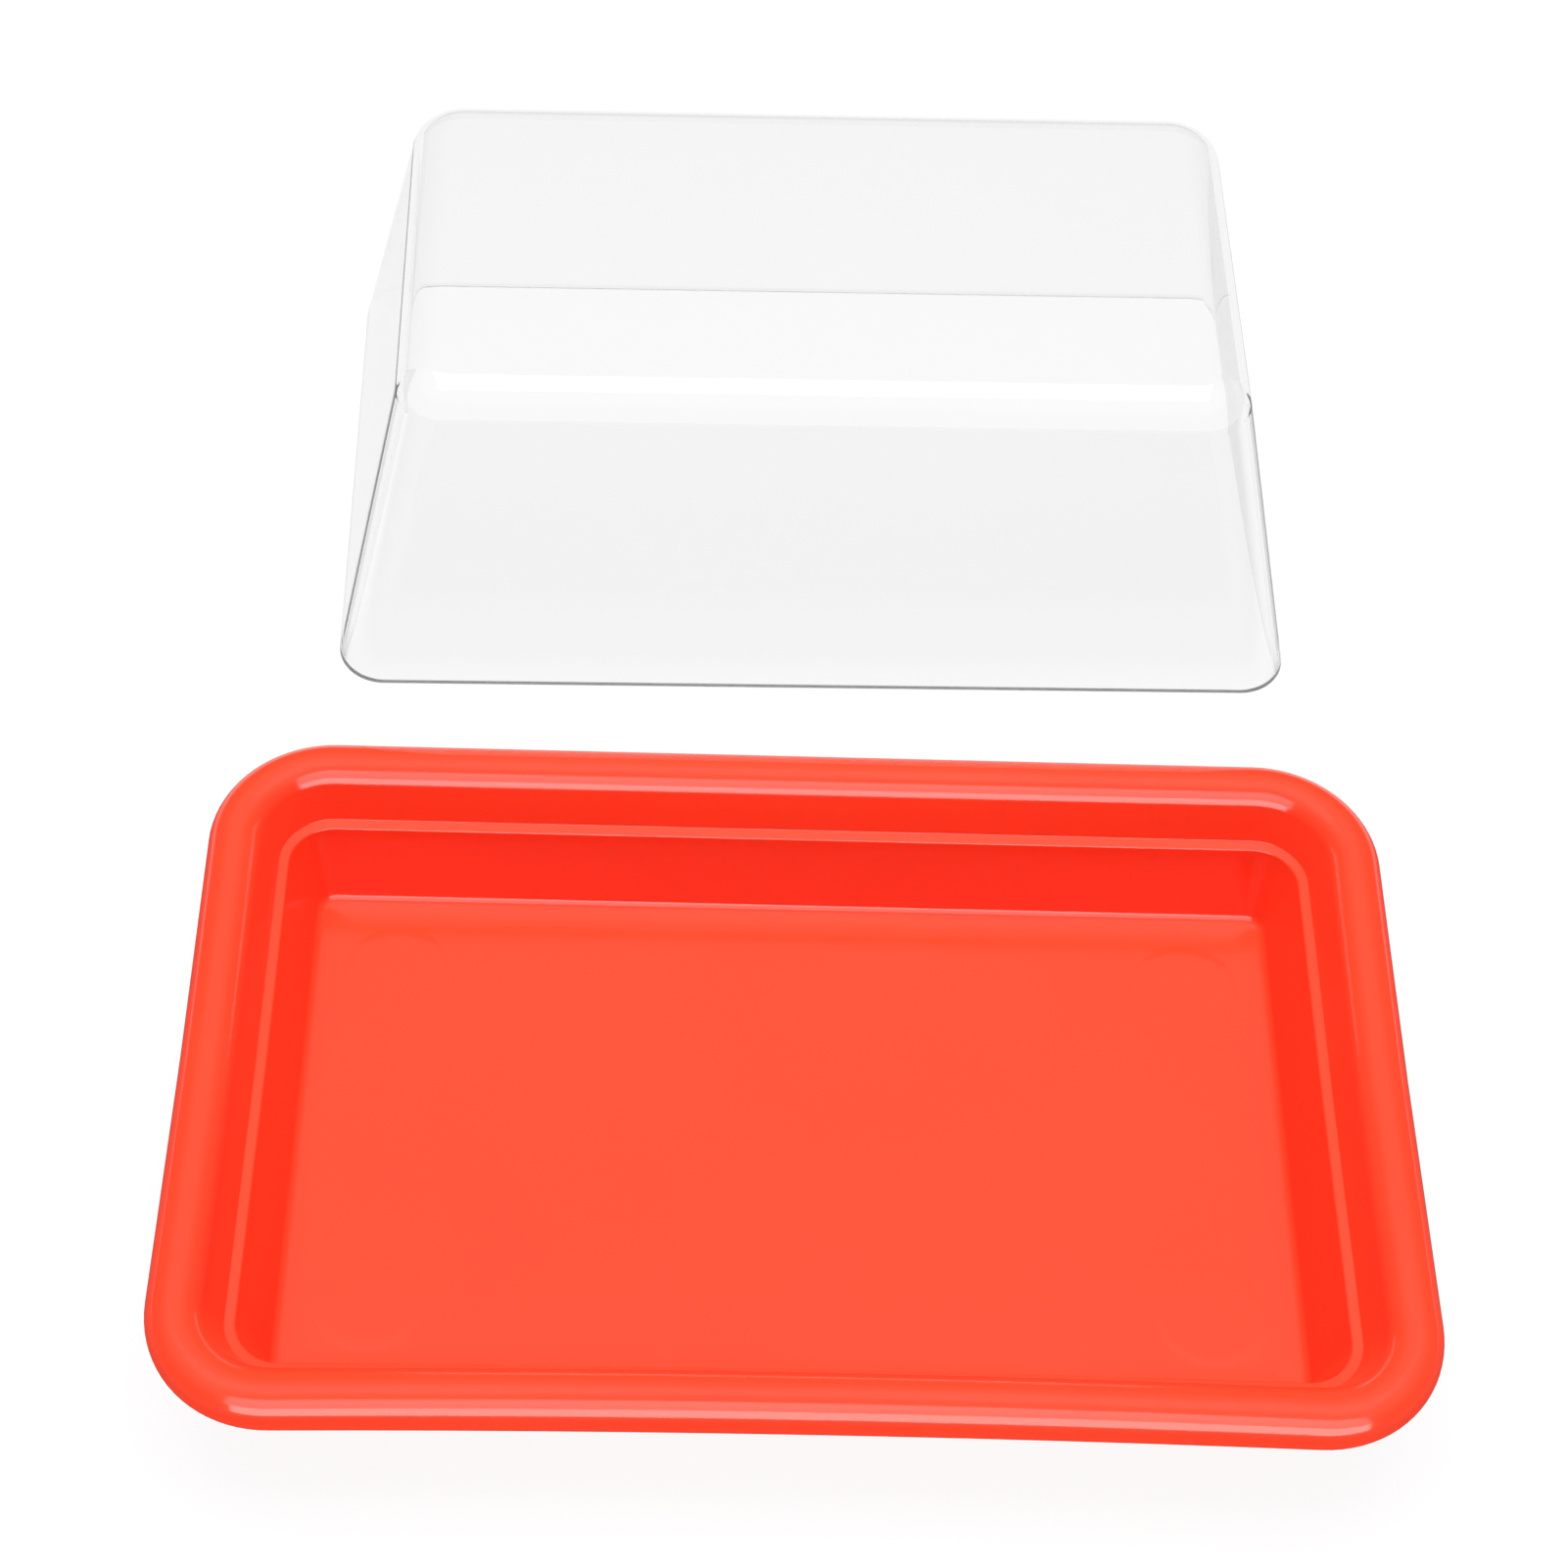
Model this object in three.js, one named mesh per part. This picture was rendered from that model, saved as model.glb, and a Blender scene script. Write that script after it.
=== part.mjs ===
// Butter box in two moulded pieces: a shallow tray with a rolled rim, and a clear drafted lid
// whose rim seats on a ledge inside the tray. The lid is shown taken off, standing behind the tray.
// Millimetres, +Z up, origin at the centre of the tray's flat underside, +Y towards the lid.
import * as THREE from 'three';

// Tray, sizes outside to outside
const TRAY_WIDTH = 170;
const TRAY_DEPTH = 110;
const TRAY_HEIGHT = 22.5;
const TRAY_CORNER_RADIUS = 17.5;
const TRAY_WALL = 1.8;
const TRAY_FLOOR = 1.5;

// Rolled rim: the wall turns out over a round bead and ends in a short lip
const RIM_RADIUS = 4;
const LIP_TIP = 0.85;

// Ledge inside the tray that carries the lid, at its drop below the top of the rim.
// The shoulder is the wall between rim and ledge.
const SHOULDER_DRAFT_DEG = 19.5;
const LEDGE_DROP = 7.7;
const LEDGE_FILLET = 0.2;
const LEDGE_EDGE_RADIUS = 0.4;
const LEDGE_SPARE = 0.1;

// Well below the ledge: its floor rises in a soft cove to the foot of the wall
const WELL_DRAFT_DEG = 12.5;
const COVE_RISE = 0.75;
const COVE_SLOPE_DEG = 32;
const COVE_RADIUS = 4.5;
const FLOOR_FILLET = 0.5;
const BASE_EDGE_RADIUS = 1.6;
const LEAST_CORNER_RADIUS = 0.8;

// Lid
const LID_HEIGHT = 52.2;
const LID_WALL = 1.2;
const LID_TOP = 1.4;
const LID_DRAFT_DEG = 12.5;
const LID_EDGE_RADIUS = 5;
const LID_CLEARANCE = 0.25;

// Where the lid stands when it is off
const LID_STAND_GAP = 29.7;
const LID_STAND_SHIFT = 2.75;
const LID_STAND_TURN_DEG = 0.97;

// Facets
const ARC_STEP_DEG = 12;
const CORNER_STEPS = 8;

const SHOULDER_DRAFT = THREE.MathUtils.degToRad(SHOULDER_DRAFT_DEG);
const WELL_DRAFT = THREE.MathUtils.degToRad(WELL_DRAFT_DEG);
const COVE_SLOPE = THREE.MathUtils.degToRad(COVE_SLOPE_DEG);
const LID_DRAFT = THREE.MathUtils.degToRad(LID_DRAFT_DEG);

// A section is drawn as a path in (inset, height): inset runs inwards from the outer outline,
// and the material lies on the right of the path.
const at = (inset, height) => new THREE.Vector2(inset, height);

// Runs a section to a corner and rounds it on the way to the next point.
// The straights on both sides limit the radius.
function roundCorner(section, corner, next, wantedRadius) {
  const back = section.currentPoint.clone().sub(corner);
  const ahead = next.clone().sub(corner);
  const halfAngle = back.angleTo(ahead) / 2;
  const room = Math.min(back.length(), ahead.length());
  const reach = Math.min(wantedRadius / Math.tan(halfAngle), room);
  const radius = reach * Math.tan(halfAngle);
  back.normalize();
  ahead.normalize();
  const bisector = back.clone().add(ahead).normalize();
  const centre = bisector.multiplyScalar(radius / Math.sin(halfAngle)).add(corner);
  const start = corner.clone().addScaledVector(back, reach).sub(centre).angle();
  const end = corner.clone().addScaledVector(ahead, reach).sub(centre).angle();
  section.absarc(centre.x, centre.y, radius, start, end, back.cross(ahead) > 0);
}

// Points of a section: the ends of its straights, and its arcs in even steps.
function sectionPoints(section) {
  const points = [section.curves[0].getPoint(0)];
  for (const curve of section.curves) {
    const sweep = curve.isEllipseCurve ? curve.getLength() / curve.xRadius : 0;
    const steps = Math.max(1, Math.ceil(THREE.MathUtils.radToDeg(sweep) / ARC_STEP_DEG));
    points.push(...curve.getPoints(steps).slice(1));
  }
  return points;
}

// A rectangle with round corners, as points in order round it.
function roundedOutline(width, depth, radius) {
  const outline = new THREE.Shape();
  const x = width / 2 - radius;
  const y = depth / 2 - radius;
  const quarter = Math.PI / 2;
  outline.absarc(x, y, radius, 0, quarter);
  outline.absarc(-x, y, radius, quarter, 2 * quarter);
  outline.absarc(-x, -y, radius, 2 * quarter, 3 * quarter);
  outline.absarc(x, -y, radius, 3 * quarter, 4 * quarter);
  return outline.getPoints(CORNER_STEPS / 2);
}

// Carries a section round a rounded rectangle, and closes the first and last ring with a flat face.
// cornerAt gives the corner radius of the ring through a point of the section.
function sweepSection(section, width, depth, cornerAt) {
  const positions = [];
  const triangles = [];
  let ringSize = 0;
  let firstOutline = [];
  let lastOutline = [];
  const points = sectionPoints(section);
  points.forEach((point, ring) => {
    const inset = 2 * point.x;
    const outline = roundedOutline(width - inset, depth - inset, cornerAt(point));
    ringSize = outline.length;
    firstOutline = ring === 0 ? outline : firstOutline;
    lastOutline = outline;
    outline.forEach((p) => positions.push(p.x, p.y, point.y));
    if (ring === 0) return;
    const below = (ring - 1) * ringSize;
    const above = ring * ringSize;
    for (let i = 0; i < ringSize; i += 1) {
      const j = (i + 1) % ringSize;
      triangles.push(below + i, below + j, above + j);
      triangles.push(below + i, above + j, above + i);
    }
  });
  const top = (points.length - 1) * ringSize;
  for (const [a, b, c] of THREE.ShapeUtils.triangulateShape(firstOutline, [])) {
    triangles.push(a, c, b);
  }
  for (const [a, b, c] of THREE.ShapeUtils.triangulateShape(lastOutline, [])) {
    triangles.push(top + a, top + b, top + c);
  }
  const geometry = new THREE.BufferGeometry();
  geometry.setAttribute('position', new THREE.Float32BufferAttribute(positions, 3));
  geometry.setIndex(triangles);
  geometry.computeVertexNormals();
  return geometry;
}

// Rim and ledge of the tray, shared with the lid that seats there.
// A fillet between a drafted wall and a level face takes this share of its radius from the face.
const filletShare = (draft) => 1 / Math.tan((Math.PI / 2 + draft) / 2);
const ledgeHeight = TRAY_HEIGHT - LEDGE_DROP;
const rimCentre = at(RIM_RADIUS, TRAY_HEIGHT - RIM_RADIUS);
const rimToWall = at(
  rimCentre.x + RIM_RADIUS * Math.cos(SHOULDER_DRAFT),
  rimCentre.y + RIM_RADIUS * Math.sin(SHOULDER_DRAFT),
);
const wallAtLedge = rimToWall.x + (rimToWall.y - ledgeHeight) * Math.tan(SHOULDER_DRAFT);
const lidRimInset = wallAtLedge + LEDGE_FILLET * filletShare(SHOULDER_DRAFT) + LID_CLEARANCE;
const seatEnd = lidRimInset + LID_WALL / Math.cos(LID_DRAFT) + LEDGE_SPARE;
const ledgeInner = seatEnd + LEDGE_EDGE_RADIUS * filletShare(WELL_DRAFT);
const trayCorner = (inset) => Math.max(TRAY_CORNER_RADIUS - inset, LEAST_CORNER_RADIUS);

// The tray: flat base, drafted well, ledge, shoulder, rolled rim and lip in one wall.
// Outside and inside run a wall thickness apart, and all corners share their centres.
function traySection() {
  const wellAcross = TRAY_WALL / Math.cos(WELL_DRAFT);
  const wellAt = (height) => ledgeInner + (ledgeHeight - height) * Math.tan(WELL_DRAFT);
  const ledgeUnder = ledgeHeight - TRAY_WALL;
  const shoulderAcross = TRAY_WALL / Math.cos(SHOULDER_DRAFT);
  const shoulderOutside = wallAtLedge - shoulderAcross + TRAY_WALL * Math.tan(SHOULDER_DRAFT);
  const wrap = Math.acos(1 - (TRAY_WALL - LIP_TIP) / RIM_RADIUS);
  const lipEnd = rimCentre.y - RIM_RADIUS * Math.sin(wrap);
  const wellFoot = at(wellAt(TRAY_FLOOR + COVE_RISE), TRAY_FLOOR + COVE_RISE);
  const coveFoot = at(wellFoot.x + COVE_RISE / Math.tan(COVE_SLOPE), TRAY_FLOOR);
  const floorFlat = coveFoot.x + COVE_RADIUS * Math.tan(COVE_SLOPE);
  const ledgeOuterCorner = at(wallAtLedge, ledgeHeight);
  const ledgeInnerCorner = at(ledgeInner, ledgeHeight);
  const underLedge = at(wellAt(ledgeUnder) - wellAcross, ledgeUnder);

  const section = new THREE.Path();
  section.moveTo(floorFlat, 0);
  roundCorner(section, at(wellAt(0) - wellAcross, 0), underLedge, BASE_EDGE_RADIUS);
  section.lineTo(underLedge.x, underLedge.y);
  section.lineTo(shoulderOutside, ledgeUnder);
  section.absarc(rimCentre.x, rimCentre.y, RIM_RADIUS - TRAY_WALL, SHOULDER_DRAFT, Math.PI, false);
  section.lineTo(TRAY_WALL, lipEnd);
  section.absarc(rimCentre.x, rimCentre.y, RIM_RADIUS, Math.PI + wrap, SHOULDER_DRAFT, true);
  roundCorner(section, ledgeOuterCorner, ledgeInnerCorner, LEDGE_FILLET);
  roundCorner(section, ledgeInnerCorner, wellFoot, LEDGE_EDGE_RADIUS);
  roundCorner(section, wellFoot, coveFoot, FLOOR_FILLET);
  roundCorner(section, coveFoot, at(floorFlat, TRAY_FLOOR), COVE_RADIUS);
  return section;
}

// The lid: one thin wall that leans in by its draft and rounds over into a flat top, open below.
// Its rim takes its outline from the tray's seat.
function lidSection() {
  const slope = Math.tan(LID_DRAFT);
  const wallAcross = LID_WALL / Math.cos(LID_DRAFT);
  const ceiling = LID_HEIGHT - LID_TOP;
  const innerCorner = at(wallAcross + ceiling * slope, ceiling);
  const outerCorner = at(LID_HEIGHT * slope, LID_HEIGHT);
  const flat = outerCorner.x + LID_EDGE_RADIUS;

  const section = new THREE.Path();
  section.moveTo(flat, ceiling);
  roundCorner(section, innerCorner, at(wallAcross, 0), LID_EDGE_RADIUS - LID_WALL);
  section.lineTo(wallAcross, 0);
  section.lineTo(0, 0);
  roundCorner(section, outerCorner, at(flat, LID_HEIGHT), LID_EDGE_RADIUS);
  return section;
}

function makeTray() {
  const cornerAt = (point) => trayCorner(point.x);
  const geometry = sweepSection(traySection(), TRAY_WIDTH, TRAY_DEPTH, cornerAt);
  const plastic = new THREE.MeshStandardMaterial({ color: 0xf2452b, roughness: 0.2, metalness: 0 });
  const tray = new THREE.Mesh(geometry, plastic);
  tray.name = 'tray';
  return tray;
}

function makeLid() {
  const rimWidth = TRAY_WIDTH - 2 * lidRimInset;
  const rimDepth = TRAY_DEPTH - 2 * lidRimInset;
  const cornerAt = (point) => trayCorner(lidRimInset + point.x - point.y * Math.tan(LID_DRAFT));
  const geometry = sweepSection(lidSection(), rimWidth, rimDepth, cornerAt);
  const clear = new THREE.MeshStandardMaterial({
    color: 0xf4f7f7,
    roughness: 0.06,
    metalness: 0,
    transparent: true,
    opacity: 0.3,
  });
  const lid = new THREE.Mesh(geometry, clear);
  lid.name = 'lid';
  lid.position.set(LID_STAND_SHIFT, TRAY_DEPTH / 2 + LID_STAND_GAP + rimDepth / 2, 0);
  lid.rotation.z = THREE.MathUtils.degToRad(LID_STAND_TURN_DEG);
  return lid;
}

const butterBox = new THREE.Group();
butterBox.add(makeTray(), makeLid());

export default butterBox;
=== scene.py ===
import math

import bmesh
import bpy
from mathutils import Matrix, Vector


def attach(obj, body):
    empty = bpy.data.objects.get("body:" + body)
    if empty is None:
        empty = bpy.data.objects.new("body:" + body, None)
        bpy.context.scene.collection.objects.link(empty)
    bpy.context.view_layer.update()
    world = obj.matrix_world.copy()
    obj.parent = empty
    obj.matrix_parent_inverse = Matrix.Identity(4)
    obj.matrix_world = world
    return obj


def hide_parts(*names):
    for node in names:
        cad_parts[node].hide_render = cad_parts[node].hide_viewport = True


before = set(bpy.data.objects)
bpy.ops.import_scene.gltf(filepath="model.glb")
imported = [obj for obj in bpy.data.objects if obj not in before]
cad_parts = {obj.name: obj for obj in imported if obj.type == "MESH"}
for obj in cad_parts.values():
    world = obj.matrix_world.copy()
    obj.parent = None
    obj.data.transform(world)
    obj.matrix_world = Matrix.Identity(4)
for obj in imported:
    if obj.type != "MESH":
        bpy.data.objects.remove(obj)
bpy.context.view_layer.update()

# Tray
# A shallow oblong dish in opaque orange-red polypropylene, injection moulded in one shot.
# One even wall runs from the flat base up the drafted well, over a ledge for the lid and a
# leaning shoulder, and rolls out over a round rim into a short lip. Its sizes are in millimetres.
MM = 0.001
TRAY_WIDTH = 170.0
TRAY_DEPTH = 110.0
TRAY_HEIGHT = 22.5
TRAY_CORNER = 17.5
TRAY_LEAST_CORNER = 0.8
TRAY_WALL = 1.8
TRAY_FLOOR = 1.5
RIM_RADIUS = 4.0
LIP_TIP = 0.85
LIP_EDGE = 0.3
SHOULDER = math.radians(21)
LEDGE_DROP = 7.9
LEDGE_FILLET = 0.2
LEDGE_EDGE = 0.4
LEDGE_SPARE = 0.1
LEDGE_FALL = 0.25
LEDGE_PULL = 0.45
LID_WALL = 1.2
LID_CLEARANCE = 0.1
DRAFT = math.radians(12.5)
WELL_DRAFT = math.radians(13.8)
FLOOR_FILLET = 1.6
DISH_RISE = 0.55
DISH_SLOPE = math.radians(10)
DISH_RADIUS = 22.0
BASE_EDGE = 1.6
BASE_RING = 2.0
FRONT_BOW = 1.8
FRONT_MIDDLE = 0.04
FRONT_SPREAD = 0.7


def bend(line, centre, radius, start, sweep, step=4.0):
    """Adds an arc to a section line; angles in degrees, step the longest facet."""
    steps = max(3, math.ceil(abs(sweep) / step))
    for k in range(steps + 1):
        angle = math.radians(start + sweep * k / steps)
        line.append(centre + radius * Vector((math.cos(angle), math.sin(angle))))


def round_off(line, corner, ahead, radius, step=4.0):
    """Runs a section line to a corner and rounds it on the way to the next point."""
    back = (line[-1] - corner).normalized()
    onward = (ahead - corner).normalized()
    half = back.angle(onward) / 2
    centre = corner + (back + onward).normalized() * (radius / math.sin(half))
    first = corner + back * (radius / math.tan(half)) - centre
    last = corner + onward * (radius / math.tan(half)) - centre
    start = math.degrees(math.atan2(first.y, first.x))
    sweep = math.degrees(math.atan2(first.cross(last), first.dot(last)))
    bend(line, centre, radius, start, sweep, step)


def rounded_ring(bm, width, depth, corner, height):
    """A closed loop of vertices round a rounded rectangle, with a few along each side."""
    corner_steps = 20
    side_steps = 12
    x = width / 2 - corner
    y = depth / 2 - corner
    centres = ((x, y), (-x, y), (-x, -y), (x, -y))
    loop = []
    for k, (cx, cy) in enumerate(centres):
        for i in range(corner_steps + 1):
            angle = math.pi / 2 * (k + i / corner_steps)
            loop.append(Vector((cx + corner * math.cos(angle), cy + corner * math.sin(angle))))
        start = loop[-1].copy()
        end = start + Vector(centres[(k + 1) % 4]) - Vector((cx, cy))
        for i in range(1, side_steps):
            loop.append(start.lerp(end, i / side_steps))
    return [bm.verts.new((p.x * MM, p.y * MM, height * MM)) for p in loop]


def join_loops(bm, loops):
    """Bridges loops of as many vertices each, from one to the next, with four-sided faces."""
    count = len(loops[0])
    for below, above in zip(loops, loops[1:]):
        for i in range(count):
            j = (i + 1) % count
            bm.faces.new((below[i], below[j], above[j], above[i]))


def sweep_section(bm, line, width, depth, corner_at):
    """Carries a section line round a rounded rectangle and returns its loops of vertices."""
    loops = []
    for p in line:
        loops.append(rounded_ring(bm, width - 2 * p.x, depth - 2 * p.x, corner_at(p), p.y))
    join_loops(bm, loops)
    return loops


def finish_mesh(bm, name):
    """Turns a bmesh into a smooth-shaded object whose flats keep their own normals."""
    bmesh.ops.recalc_face_normals(bm, faces=bm.faces[:])
    mesh = bpy.data.meshes.new(name)
    bm.to_mesh(mesh)
    bm.free()
    mesh.shade_smooth()
    piece = bpy.data.objects.new(name, mesh)
    bpy.context.scene.collection.objects.link(piece)
    flats = piece.modifiers.new("even flats", "WEIGHTED_NORMAL")
    flats.mode = "FACE_AREA"
    flats.weight = 50
    return piece


def level_share(draft):
    """The share of its radius that a fillet at a drafted wall takes from the level face."""
    return 1 / math.tan((math.pi / 2 + draft) / 2)


# Points of the section have x as the inset from the tray's outline and y as the height.
slope = math.tan(DRAFT)
wall_across = TRAY_WALL / math.cos(DRAFT)
rim_centre = Vector((RIM_RADIUS, TRAY_HEIGHT - RIM_RADIUS))
ledge_height = TRAY_HEIGHT - LEDGE_DROP
rim_to_wall = rim_centre + RIM_RADIUS * Vector((math.cos(SHOULDER), math.sin(SHOULDER)))
wall_at_ledge = rim_to_wall.x + (rim_to_wall.y - ledge_height) * math.tan(SHOULDER)
shoulder_outside = wall_at_ledge + TRAY_WALL * (math.tan(SHOULDER) - 1 / math.cos(SHOULDER))
lid_rim_inset = wall_at_ledge + LEDGE_FILLET * level_share(SHOULDER) + LID_CLEARANCE
seat_end = lid_rim_inset + LID_WALL / math.cos(DRAFT) + LEDGE_SPARE
ledge_inner = Vector((seat_end + LEDGE_EDGE * level_share(DRAFT), ledge_height))
ledge_edge = ledge_inner + Vector((-LEDGE_PULL, -LEDGE_FALL))
foot_height = TRAY_FLOOR + DISH_RISE
foot_inset = ledge_inner.x + (ledge_height - foot_height) * math.tan(WELL_DRAFT)
well_foot = Vector((foot_inset, foot_height))
dish_end = Vector((foot_inset + DISH_RISE / math.tan(DISH_SLOPE), TRAY_FLOOR))
ledge_under = ledge_height - TRAY_WALL
under_ledge = Vector((ledge_inner.x + TRAY_WALL * slope - wall_across, ledge_under))
base_corner = Vector((ledge_inner.x + ledge_height * slope - wall_across, 0))
shoulder_angle = math.degrees(SHOULDER)
wrap = math.degrees(math.acos(1 - (TRAY_WALL - LIP_TIP) / RIM_RADIUS))
lip_end = rim_centre.y - RIM_RADIUS * math.sin(math.radians(wrap))
lip_inside = Vector((TRAY_WALL, lip_end))
lip_outside = Vector((TRAY_WALL - LIP_TIP, lip_end))

tray_line = [Vector((foot_inset + BASE_RING, 0))]
round_off(tray_line, base_corner, under_ledge, BASE_EDGE, step=12)
tray_line.append(under_ledge)
tray_line.append(Vector((shoulder_outside, ledge_under)))
bend(tray_line, rim_centre, RIM_RADIUS - TRAY_WALL, shoulder_angle, 180 - shoulder_angle, step=10)
round_off(tray_line, lip_inside, lip_outside, LIP_EDGE, step=30)
bend(tray_line, rim_centre, RIM_RADIUS, 180 + wrap, shoulder_angle - 180 - wrap)
round_off(tray_line, Vector((wall_at_ledge, ledge_height)), ledge_edge, LEDGE_FILLET, step=8)
round_off(tray_line, ledge_edge, well_foot, LEDGE_EDGE, step=8)
round_off(tray_line, well_foot, dish_end, FLOOR_FILLET, step=3)
round_off(tray_line, dish_end, dish_end + Vector((DISH_RADIUS, 0)), DISH_RADIUS, step=1)

bm = bmesh.new()
tray_loops = sweep_section(bm, tray_line, TRAY_WIDTH, TRAY_DEPTH,
                           lambda p: max(TRAY_CORNER - p.x, TRAY_LEAST_CORNER))
bm.faces.new(list(reversed(tray_loops[0])))
bm.faces.new(tray_loops[-1])

# Four round pads stand a trace proud of the floor, where the mould pushed the tray out. Each is a
# low cap, whose soft edge is given as pairs of an inset and a share of the height.
PAD_RADIUS = 8.3
PAD_HEIGHT = 0.06
PAD_SIDES = 48
PAD_X = 58.0
PAD_Y = 27.5
PAD_EDGE = ((0, -0.3), (0.5, 0.05), (1.0, 0.5), (1.5, 0.85), (2.0, 1.0))
for px, py in ((PAD_X, PAD_Y), (-PAD_X, PAD_Y), (-PAD_X, -PAD_Y), (PAD_X, -PAD_Y)):
    pad_loops = []
    for inset, rise in PAD_EDGE:
        radius = PAD_RADIUS - inset
        height = TRAY_FLOOR + rise * PAD_HEIGHT
        loop = []
        for i in range(PAD_SIDES):
            angle = 2 * math.pi * i / PAD_SIDES
            x = px + radius * math.cos(angle)
            y = py + radius * math.sin(angle)
            loop.append(bm.verts.new((x * MM, y * MM, height * MM)))
        pad_loops.append(loop)
    join_loops(bm, pad_loops)
    bm.faces.new(pad_loops[-1])

# The front side has cooled a little hollow: its ends stand out and its corners spread, most at
# the rim.
for v in bm.verts:
    along = 2 * v.co.x / (TRAY_WIDTH * MM)
    spread = max(0, -2 * v.co.y / (TRAY_DEPTH * MM)) * v.co.z / (TRAY_HEIGHT * MM)
    v.co.x += FRONT_SPREAD * MM * spread * along
    v.co.y -= FRONT_BOW * MM * spread * (FRONT_MIDDLE + (1 - FRONT_MIDDLE) * along ** 2)
tray = finish_mesh(bm, "tray_shell")
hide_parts("tray")
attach(tray, "tray")


def linear(hex_colour):
    """An sRGB hex colour as linear red, green, blue and a full alpha."""
    parts = [int(hex_colour[i:i + 2], 16) / 255 for i in (0, 2, 4)]
    return [c / 12.92 if c <= 0.04045 else ((c + 0.055) / 1.055) ** 2.4 for c in parts] + [1.0]


def add_node(owner, kind, settings=None, links=None):
    """Adds a node, sets its properties and sockets, and links sockets from other nodes' outputs."""
    node = owner.node_tree.nodes.new(kind)
    for key, value in (settings or {}).items():
        if isinstance(key, int) or key in node.inputs:
            node.inputs[key].default_value = value
        else:
            setattr(node, key, value)
    for key, source in (links or {}).items():
        owner.node_tree.links.new(source, node.inputs[key])
    return node


def new_material(name):
    """An empty node material with its output."""
    material = bpy.data.materials.new(name)
    material.use_nodes = True
    material.node_tree.nodes.clear()
    return material, add_node(material, "ShaderNodeOutputMaterial")


# Pigmented polypropylene from a polished mould: an even, saturated colour under a clear gloss.
# The melt leaves a faint cloudiness a few centimetres wide and a ripple that bends reflections
# slightly.
CLOUD_WIDTH = 30.0
RIPPLE_WIDTH = 6.0
RIPPLE_HEIGHT = 0.02
PAINTED_REFLECTION_BEYOND = 32.0
polypropylene, output = new_material("moulded_polypropylene")
place = add_node(polypropylene, "ShaderNodeTexCoord").outputs["Object"]
cloud = add_node(polypropylene, "ShaderNodeTexNoise",
                 {"Scale": 1 / (CLOUD_WIDTH * MM), "Detail": 3.0, "Roughness": 0.5}, {"Vector": place})
tint = add_node(polypropylene, "ShaderNodeMix",
                {"data_type": "RGBA", 6: linear("fe4127"), 7: linear("fe462a")},
                {0: cloud.outputs["Fac"]})
gloss = add_node(polypropylene, "ShaderNodeMapRange", {"To Min": 0.1, "To Max": 0.15},
                 {"Value": cloud.outputs["Fac"]})
ripple = add_node(polypropylene, "ShaderNodeTexNoise",
                  {"Scale": 1 / (RIPPLE_WIDTH * MM), "Detail": 1.0, "Roughness": 0.4}, {"Vector": place})
wavy = add_node(polypropylene, "ShaderNodeBump", {"Strength": 0.15, "Distance": RIPPLE_HEIGHT * MM},
                {"Height": ripple.outputs["Fac"]})

# Mirrored from close by, the tray shows its own colour. Mirrored from further off than its own
# walls, in the lid or across the tray, it is a painted reflection: a neutral dark grey with no second
# gloss.
path = add_node(polypropylene, "ShaderNodeLightPath")
far = add_node(polypropylene, "ShaderNodeMath", {"operation": "GREATER_THAN", 1: PAINTED_REFLECTION_BEYOND * MM},
               {0: path.outputs["Ray Length"]})
mirrored = add_node(polypropylene, "ShaderNodeMath", {"operation": "MULTIPLY", "use_clamp": True},
                    {0: path.outputs["Glossy Depth"], 1: far.outputs[0]})
colour = add_node(polypropylene, "ShaderNodeMix", {"data_type": "RGBA", 7: linear("303030")},
                  {0: mirrored.outputs[0], 6: tint.outputs[2]})

# Level and leaning faces have the full gloss, and the steep walls little of it.
facing = add_node(polypropylene, "ShaderNodeSeparateXYZ", {},
                  {0: add_node(polypropylene, "ShaderNodeNewGeometry").outputs["Normal"]})
polish = add_node(polypropylene, "ShaderNodeMapRange",
                  {"From Min": 0.3, "From Max": 0.5, "To Min": 0.1, "To Max": 0.5},
                  {"Value": facing.outputs["Z"]})
lustre = add_node(polypropylene, "ShaderNodeMix", {3: 0.0},
                  {0: mirrored.outputs[0], 2: polish.outputs["Result"]})
skin = add_node(polypropylene, "ShaderNodeBsdfPrincipled", {"IOR": 1.49},
                {"Base Color": colour.outputs[2], "Roughness": gloss.outputs["Result"],
                 "Specular IOR Level": lustre.outputs[0], "Normal": wavy.outputs["Normal"]})
polypropylene.node_tree.links.new(skin.outputs["BSDF"], output.inputs["Surface"])
tray.data.materials.append(polypropylene)

# Lid
# A clear cover in crystal polystyrene, one thin moulding with drafted sides and rounded edges.
# It is loose, and stands on its rim behind the tray, turned by about a degree.
LID_HEIGHT = 52.2
LID_TOP = 1.4
LID_EDGE = 6.5
LID_RIM_EDGE = 0.15
LID_LEAST_CORNER = 0.1
LID_TOP_RING = 1.0
LID_GAP = 29.7
LID_SHIFT = 2.75
LID_TURN = math.radians(0.97)
lid_wall_across = LID_WALL / math.cos(DRAFT)
ceiling = LID_HEIGHT - LID_TOP
inner_corner = Vector((lid_wall_across + ceiling * slope, ceiling))
outer_corner = Vector((LID_HEIGHT * slope, LID_HEIGHT))
outer_rim = Vector((0, 0))
inner_rim = Vector((lid_wall_across, 0))
inner_edge = LID_EDGE - LID_WALL
top_ring = inner_corner.x + inner_edge * level_share(DRAFT) + LID_TOP_RING

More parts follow.
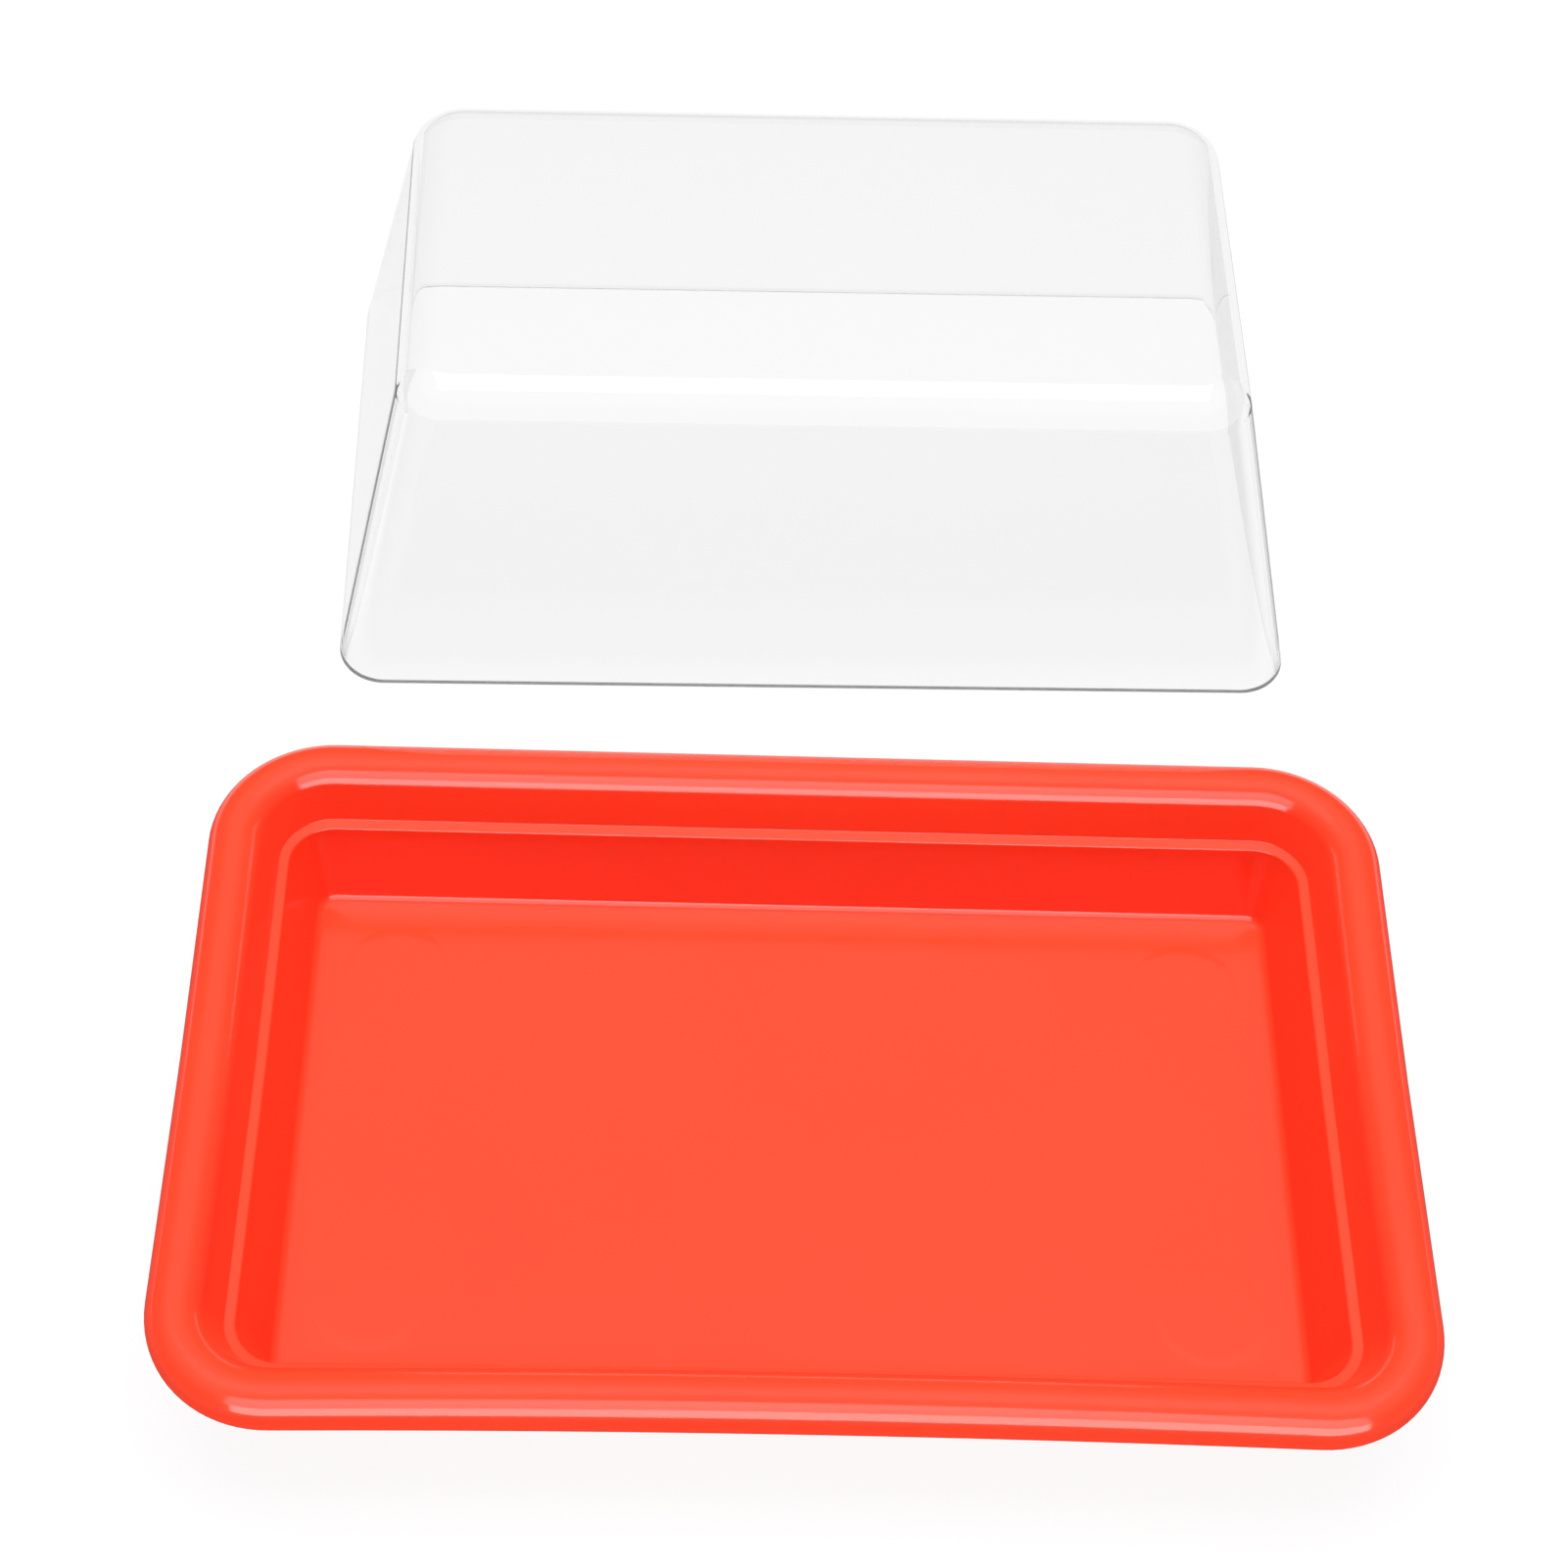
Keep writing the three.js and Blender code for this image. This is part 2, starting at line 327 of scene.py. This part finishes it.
lid_line = [Vector((top_ring, ceiling))]
round_off(lid_line, inner_corner, inner_rim, inner_edge, step=3)
round_off(lid_line, inner_rim, outer_rim, LID_RIM_EDGE, step=20)
round_off(lid_line, outer_rim, outer_corner, LID_RIM_EDGE, step=20)
round_off(lid_line, outer_corner, outer_corner + Vector((LID_EDGE, 0)), LID_EDGE, step=3)
lid_line.append(Vector((top_ring, LID_HEIGHT)))

rim_width = TRAY_WIDTH - 2 * lid_rim_inset
rim_depth = TRAY_DEPTH - 2 * lid_rim_inset
rim_corner = TRAY_CORNER - lid_rim_inset
bm = bmesh.new()
lid_loops = sweep_section(bm, lid_line, rim_width, rim_depth,
                          lambda p: max(rim_corner - p.x + p.y * slope, LID_LEAST_CORNER))
bm.faces.new(list(reversed(lid_loops[0])))
bm.faces.new(lid_loops[-1])
stand = Vector((LID_SHIFT, TRAY_DEPTH / 2 + LID_GAP + rim_depth / 2, 0)) * MM
bm.transform(Matrix.Translation(stand) @ Matrix.Rotation(LID_TURN, 4, "Z"))
lid = finish_mesh(bm, "lid_shell")
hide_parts("lid")
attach(lid, "lid")

# Crystal polystyrene from a polished mould: water clear, and it bends light more than glass does.
# Lamps shine through it, so it throws hardly any shadow. The foot of its rim is rubbed rough, and a
# painted shade greys it there into a soft grey line.
FLOW_WIDTH = 25.0
FLOW_HEIGHT = 0.02
RUBBED_AND_SHADED_FULL = 0.05
RUBBED_AND_SHADED_END = 0.12
polystyrene, output = new_material("crystal_polystyrene")
place = add_node(polystyrene, "ShaderNodeTexCoord").outputs["Object"]
flow = add_node(polystyrene, "ShaderNodeTexNoise",
                {"Scale": 1 / (FLOW_WIDTH * MM), "Detail": 1.0, "Roughness": 0.4}, {"Vector": place})
wavy = add_node(polystyrene, "ShaderNodeBump", {"Strength": 0.1, "Distance": FLOW_HEIGHT * MM},
                {"Height": flow.outputs["Fac"]})
height = add_node(polystyrene, "ShaderNodeSeparateXYZ", {}, {0: place})
rubbed = add_node(polystyrene, "ShaderNodeMapRange",
                  {"From Min": RUBBED_AND_SHADED_FULL * MM, "From Max": RUBBED_AND_SHADED_END * MM,
                   "To Min": 0.33, "To Max": 0.0}, {"Value": height.outputs["Z"]})
# The grey at the foot is a painted shade; only its roughness is rubbed wear.
painted_foot_shade = add_node(polystyrene, "ShaderNodeMapRange",
                  {"From Min": RUBBED_AND_SHADED_FULL * MM, "From Max": RUBBED_AND_SHADED_END * MM,
                   "To Min": 1.0, "To Max": 0.0}, {"Value": height.outputs["Z"]})
tint = add_node(polystyrene, "ShaderNodeMix",
                {"data_type": "RGBA", 6: linear("fcfcfc"), 7: linear("c4c4c4")},
                {0: painted_foot_shade.outputs["Result"]})
clear = add_node(polystyrene, "ShaderNodeBsdfPrincipled", {"IOR": 1.59, "Transmission Weight": 1.0},
                 {"Base Color": tint.outputs[2], "Roughness": rubbed.outputs["Result"],
                  "Normal": wavy.outputs["Normal"]})
lamp_light = add_node(polystyrene, "ShaderNodeBsdfTransparent", {"Color": linear("f7f8f8")})
path = add_node(polystyrene, "ShaderNodeLightPath")
glassy = add_node(polystyrene, "ShaderNodeMixShader", {},
                  {0: path.outputs["Is Shadow Ray"], 1: clear.outputs["BSDF"],
                   2: lamp_light.outputs["BSDF"]})
polystyrene.node_tree.links.new(glassy.outputs["Shader"], output.inputs["Surface"])
lid.data.materials.append(polystyrene)

# Table
# A plain white sheet that the box stands on. The camera sees it near full white, straight and through
# the clear lid, with the soft shadow of the box left on it.
TABLE_HALF = 2.0
TABLE_DROP = 0.05
bm = bmesh.new()
bmesh.ops.create_grid(bm, x_segments=1, y_segments=1, size=TABLE_HALF)
sheet_mesh = bpy.data.meshes.new("table")
bm.to_mesh(sheet_mesh)
bm.free()
table = bpy.data.objects.new("table", sheet_mesh)
bpy.context.scene.collection.objects.link(table)
table.location.z = -TABLE_DROP * MM

# White paper, matt and bright. In reflections it is painted: white from the lid backwards, and a
# painted dim grey shade in front of it, so that the tray's gloss and the lid's front wall stay free of
# glare.
DIM_END = 72.0
BRIGHT_START = 95.0
paper, output = new_material("white_paper")
path = add_node(paper, "ShaderNodeLightPath")
place = add_node(paper, "ShaderNodeSeparateXYZ", {},
                 {0: add_node(paper, "ShaderNodeTexCoord").outputs["Object"]})
front = add_node(paper, "ShaderNodeMapRange",
                 {"From Min": DIM_END * MM, "From Max": BRIGHT_START * MM, "To Min": 1.0, "To Max": 0.0},
                 {"Value": place.outputs["Y"]})
mirrored = add_node(paper, "ShaderNodeMath", {"operation": "MINIMUM", 1: 1.0},
                    {0: path.outputs["Glossy Depth"]})
painted_front_shade = add_node(paper, "ShaderNodeMath", {"operation": "MULTIPLY"},
                {0: mirrored.outputs[0], 1: front.outputs["Result"]})
seen = add_node(paper, "ShaderNodeMath", {"operation": "MAXIMUM"},
                {0: path.outputs["Is Camera Ray"], 1: path.outputs["Is Transmission Ray"]})
met = add_node(paper, "ShaderNodeMath", {"operation": "MAXIMUM"},
               {0: seen.outputs[0], 1: mirrored.outputs[0]})
looked_at = add_node(paper, "ShaderNodeMath", {"operation": "SUBTRACT", "use_clamp": True},
                     {0: met.outputs[0], 1: painted_front_shade.outputs[0]})
# In reflections the paper's white gives way to a painted dim grey.
paper_tone_and_painted_grey = add_node(paper, "ShaderNodeMix",
                {"data_type": "RGBA", 6: linear("fafafa"), 7: linear("606060")},
                {0: mirrored.outputs[0]})
lit = add_node(paper, "ShaderNodeBsdfDiffuse", {}, {"Color": paper_tone_and_painted_grey.outputs[2]})
bright = add_node(paper, "ShaderNodeEmission", {"Color": linear("ffffff"), "Strength": 1.0})
share = add_node(paper, "ShaderNodeMath", {"operation": "MULTIPLY", 1: 0.93},
                 {0: looked_at.outputs[0]})
sheet = add_node(paper, "ShaderNodeMixShader", {},
                 {0: share.outputs[0], 1: lit.outputs[0], 2: bright.outputs[0]})
paper.node_tree.links.new(sheet.outputs[0], output.inputs["Surface"])
table.data.materials.append(paper)


# Studio light
# Two soft lamps in front, one over the other, whose reflections lie along the tray's rims, a low fill
# for its front side, a broad lamp overhead, and one behind that draws the line on the lid's edge.
def soft_lamp(name, place, target, width, height, radiance):
    """A rectangular soft lamp of an even radiance, turned towards a point; sizes in metres."""
    lamp = bpy.data.lights.new(name, "AREA")
    lamp.shape = "RECTANGLE"
    lamp.size = width
    lamp.size_y = height
    lamp.energy = radiance * math.pi * width * height
    holder = bpy.data.objects.new(name, lamp)
    holder.location = place
    holder.rotation_euler = (Vector(target) - Vector(place)).to_track_quat("-Z", "Y").to_euler()
    bpy.context.scene.collection.objects.link(holder)
    return holder


upper = soft_lamp("upper_front_lamp", place=(0.08, -0.834, 0.919), target=(0.08, 0.0, 0.768),
                  width=1.5, height=0.957, radiance=2.7)
lower = soft_lamp("lower_front_lamp", place=(0.12, -0.959, 0.245), target=(0.12, 0.0, 0.065),
                  width=1.36, height=0.48, radiance=6.1)
overhead = soft_lamp("overhead_lamp", place=(0.0, 0.14, 1.0), target=(0.0, 0.0, 0.0),
                     width=1.1, height=0.6, radiance=6.9)
fill = soft_lamp("front_fill", place=(0.0, -0.5, 0.03), target=(0.0, -0.055, 0.012),
                 width=1.0, height=0.08, radiance=4.8)
edge_strip = soft_lamp("lid_edge_lamp", place=(0.0, 0.362, 1.05), target=(0.0, 0.362, 0.0),
                       width=0.8, height=0.876, radiance=4.0)

# Some lamps only show in the gloss, the others only light the colours, and none shows through the lid.
for lamp in (upper, lower, edge_strip):
    lamp.visible_diffuse = False
for lamp in (overhead, fill):
    lamp.visible_glossy = False
for lamp in (upper, lower, overhead, fill, edge_strip):
    lamp.visible_transmission = False

# The front lamps and the fill shine on the tray alone, and the lamp behind on the lid alone.
tray_only = bpy.data.collections.new("tray_only")
tray_only.objects.link(tray)
for lamp in (upper, lower, fill):
    lamp.light_linking.receiver_collection = tray_only
lid_only = bpy.data.collections.new("lid_only")
lid_only.objects.link(lid)
edge_strip.light_linking.receiver_collection = lid_only

# The room is dim at the horizon and paler overhead, and white where the camera looks at it, straight
# or through the clear lid.
room = bpy.data.worlds.new("room")
room.use_nodes = True
room.node_tree.nodes.clear()
height = add_node(room, "ShaderNodeSeparateXYZ", {},
                  {0: add_node(room, "ShaderNodeTexCoord").outputs["Generated"]})
rise = add_node(room, "ShaderNodeMapRange",
                {"From Min": 0.55, "From Max": 0.82, "To Min": 0.08, "To Max": 0.5},
                {"Value": height.outputs["Z"]})
path = add_node(room, "ShaderNodeLightPath")
unlit = add_node(room, "ShaderNodeMath", {"operation": "LESS_THAN", 1: 0.5},
                 {0: path.outputs["Diffuse Depth"]})
through = add_node(room, "ShaderNodeMath", {"operation": "MULTIPLY"},
                   {0: unlit.outputs[0], 1: path.outputs["Is Transmission Ray"]})
backdrop = add_node(room, "ShaderNodeMath", {"operation": "MAXIMUM"},
                    {0: path.outputs["Is Camera Ray"], 1: through.outputs[0]})
strength = add_node(room, "ShaderNodeMath", {"operation": "MAXIMUM"},
                    {0: rise.outputs["Result"], 1: backdrop.outputs[0]})
glow = add_node(room, "ShaderNodeBackground", {"Color": linear("ffffff")},
                {"Strength": strength.outputs[0]})
add_node(room, "ShaderNodeOutputWorld", {}, {"Surface": glow.outputs[0]})
bpy.context.scene.world = room

# Camera
# At the photograph's height, turn and tilt, with a short telephoto's field of view.
# Its place is in millimetres, and its downward tilt is measured from the level.
CAMERA_SENSOR = 36.0
CAMERA_LENS = 79.255
CAMERA_PLACE = Vector((-16.491, -264.402, 418.093))
CAMERA_TURN = math.radians(-2.6544)
CAMERA_DOWN = math.radians(51.7029)
CAMERA_ROLL = math.radians(3.4635)
camera = bpy.data.objects.new("camera", bpy.data.cameras.new("camera"))
camera.data.sensor_width = CAMERA_SENSOR
camera.data.lens = CAMERA_LENS
turn = Matrix.Rotation(CAMERA_TURN, 4, "Z")
tilt = Matrix.Rotation(math.pi / 2 - CAMERA_DOWN, 4, "X")
roll = Matrix.Rotation(CAMERA_ROLL, 4, "Z")
camera.matrix_world = Matrix.Translation(CAMERA_PLACE * MM) @ turn @ tilt @ roll
bpy.context.scene.collection.objects.link(camera)
bpy.context.scene.camera = camera
bpy.context.scene.view_settings.view_transform = "Standard"
